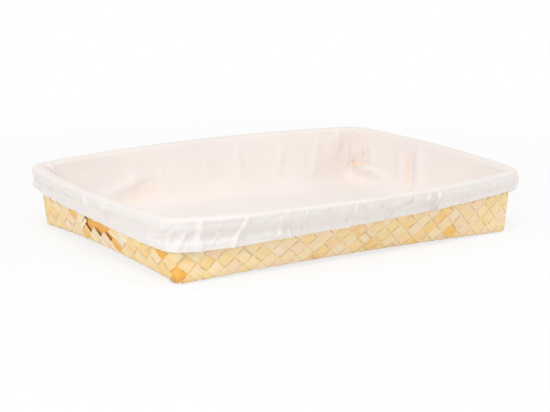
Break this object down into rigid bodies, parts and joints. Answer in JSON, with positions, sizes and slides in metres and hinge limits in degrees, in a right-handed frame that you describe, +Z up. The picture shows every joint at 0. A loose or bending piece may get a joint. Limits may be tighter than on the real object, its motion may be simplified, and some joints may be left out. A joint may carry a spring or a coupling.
{
  "type": "woven bamboo tray",
  "caption": "Shallow rectangular tray plaited from bamboo strips, with flared walls, a nailed splint rim, hand slots in the short walls and a lift-out white cotton liner with an elastic skirt.",
  "frame": {"origin": "on the table, under the middle of the tray", "axes": "+X along the long side, towards the right short wall; +Y to the back long wall; +Z up"},
  "size_m": [0.4446, 0.3566, 0.0658],
  "materials": {
    "bamboo_strip": "natural split bamboo, faint satin",
    "rim_bamboo": "natural bamboo splint",
    "slat_bamboo": "darker bamboo slat",
    "nail_steel": "bright wire nail",
    "cotton": "matte white plain-weave cotton",
    "elastic": "knitted elastic"
  },
  "bodies": {
    "tray": {"woven_body": "bamboo_strip", "rim_outer_hoop": "rim_bamboo", "rim_inner_hoop": "rim_bamboo", "slot_slat_right": "slat_bamboo", "slot_slat_left": "slat_bamboo", "rim_nail_01": "nail_steel", "rim_nail_02": "nail_steel", "rim_nail_03": "nail_steel", "rim_nail_04": "nail_steel", "rim_nail_05": "nail_steel", "rim_nail_06": "nail_steel", "rim_nail_07": "nail_steel", "rim_nail_08": "nail_steel", "rim_nail_09": "nail_steel", "rim_nail_10": "nail_steel", "rim_nail_11": "nail_steel", "rim_nail_12": "nail_steel"},
    "liner": {"liner_floor": "cotton", "liner_side": "cotton", "liner_skirt": "cotton", "hem_elastic": "elastic"}
  },
  "joints": [
    {"name": "liner_lift", "type": "slide", "parent": "tray", "child": "liner", "axis": [0, 0, 1], "range_m": [0, 0.12], "deforming": ["liner_skirt", "hem_elastic"]}
  ]
}
